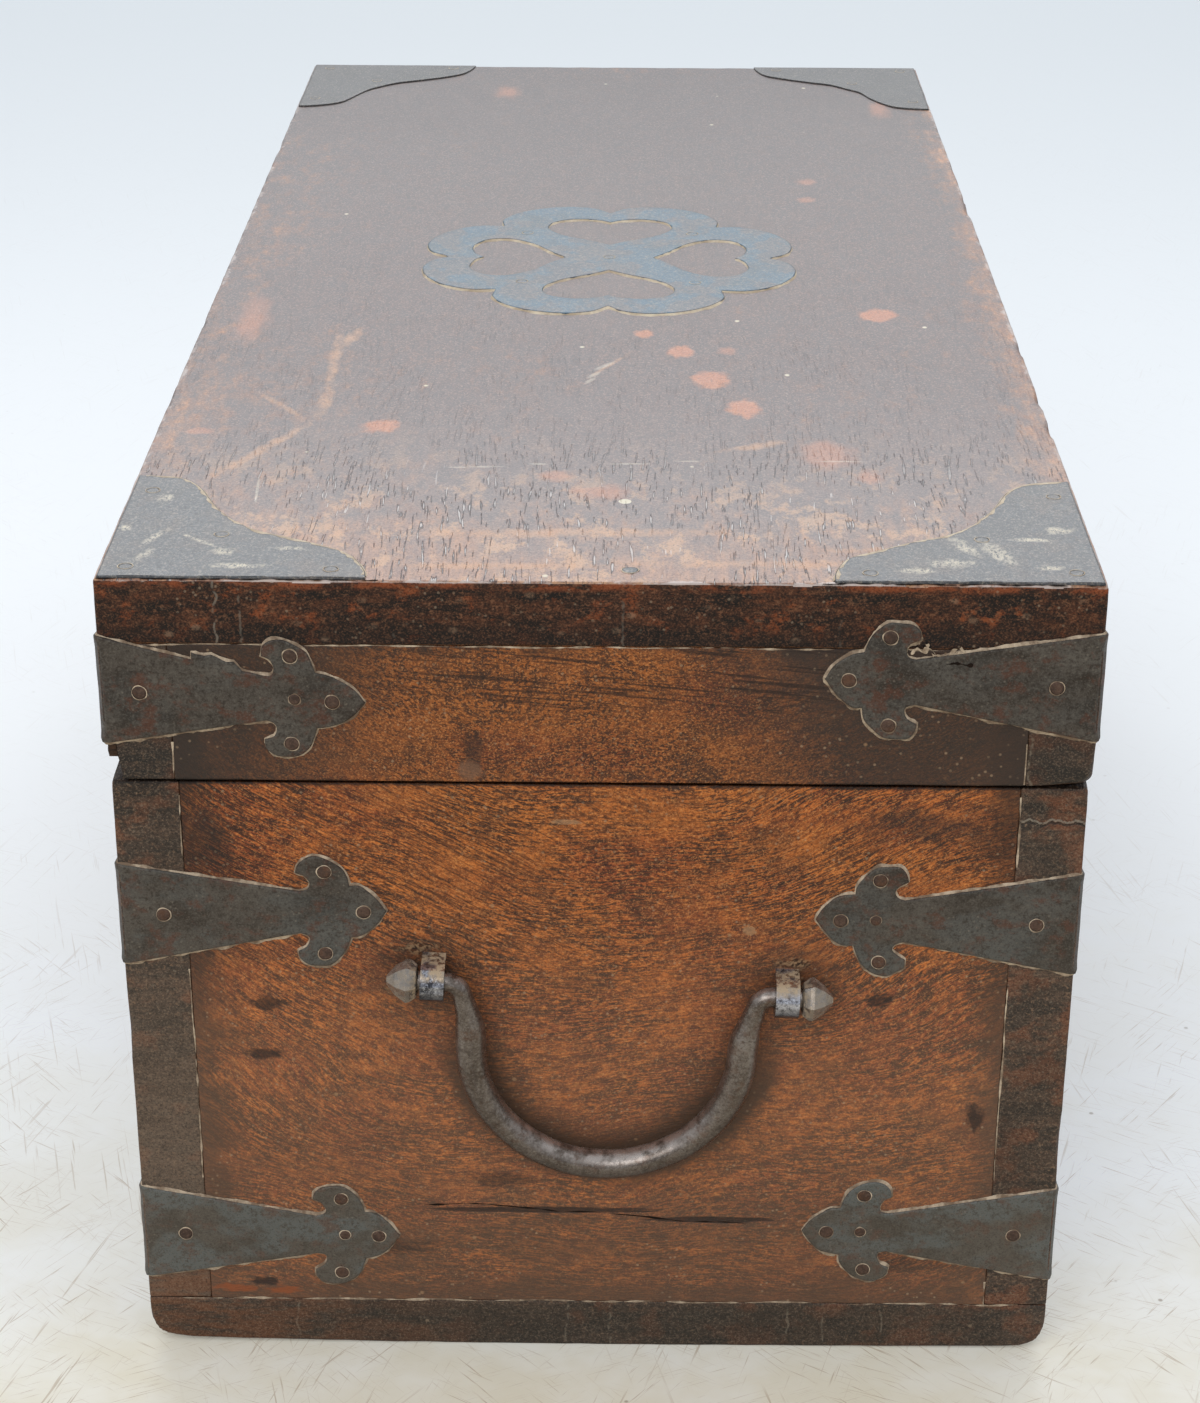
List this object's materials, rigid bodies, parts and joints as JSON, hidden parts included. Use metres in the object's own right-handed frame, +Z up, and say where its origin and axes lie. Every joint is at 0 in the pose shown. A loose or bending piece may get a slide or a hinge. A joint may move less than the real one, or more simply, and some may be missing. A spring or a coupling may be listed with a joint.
{
  "type": "document chest",
  "caption": "Small iron-bound wooden document chest with a flat lid hinged at the back, nailed corner straps, end bail handles and a lock bar seat.",
  "frame": {"origin": "centre of the underside of the bottom board, at the surface that the chest stands on", "axes": "+X along the length towards the right end, -Y out of the front with the lock eyes, +Y out of the back with the hinges, +Z up"},
  "size_m": [0.4836, 0.2303, 0.1958],
  "materials": {
    "figured_panel": "worn oiled, orange-brown with dark interlocked figure",
    "dark_board": "worn oiled, dark brown",
    "lid_wood": "worn lacquer, purplish brown with orange rubbed areas",
    "peg_wood": "whittled, unfinished",
    "strap_iron": "dark patinated sheet iron",
    "plate_iron": "patinated sheet iron, rubbed",
    "fitting_iron": "blue-grey patinated sheet iron",
    "forged_iron": "forged, rubbed to a dull shine",
    "hinge_iron": "dark patinated iron",
    "nail_iron": "forged, dull"
  },
  "bodies": {
    "chest": {"bottom_board": "dark_board", "front_board": "dark_board", "back_board": "dark_board", "left_end_board": "figured_panel", "right_end_board": "figured_panel", "body_corner_pegs": "peg_wood", "bottom_pegs": "peg_wood", "lower_straps": "strap_iron", "upper_straps": "strap_iron", "body_nails": "nail_iron", "left_staples": "forged_iron", "right_staples": "forged_iron", "body_hinge_leaves": "hinge_iron", "lock_eye_left": "hinge_iron", "lock_eye_right": "hinge_iron"},
    "lid": {"top_board": "lid_wood", "lid_front_rail": "dark_board", "lid_back_rail": "dark_board", "lid_left_end_rail": "dark_board", "lid_right_end_rail": "dark_board", "lid_corner_pegs": "peg_wood", "top_pegs": "peg_wood", "lid_straps": "strap_iron", "corner_plate_front_left": "plate_iron", "corner_plate_back_left": "plate_iron", "corner_plate_front_right": "plate_iron", "corner_plate_back_right": "plate_iron", "lid_ornament": "fitting_iron", "lid_nails": "nail_iron", "lid_hinge_leaves": "hinge_iron", "hinge_pin_left": "hinge_iron", "hinge_pin_right": "hinge_iron", "lock_tongue": "hinge_iron"},
    "left_bail": {"left_bail": "forged_iron"},
    "right_bail": {"right_bail": "forged_iron"}
  },
  "joints": [
    {"name": "lid_hinge", "type": "hinge", "parent": "chest", "child": "lid", "pos_m": [0, 0.1087, 0.1476], "axis": [-1, 0, 0], "range_deg": [0, 180]},
    {"name": "left_bail_swing", "type": "hinge", "parent": "chest", "child": "left_bail", "pos_m": [-0.2372, -0.0025, 0.0996], "axis": [0, 0.999, 0.0436], "range_deg": [0, 180]},
    {"name": "right_bail_swing", "type": "hinge", "parent": "chest", "child": "right_bail", "pos_m": [0.2372, -0.0025, 0.0996], "axis": [0, -1, 0], "range_deg": [0, 180]}
  ]
}
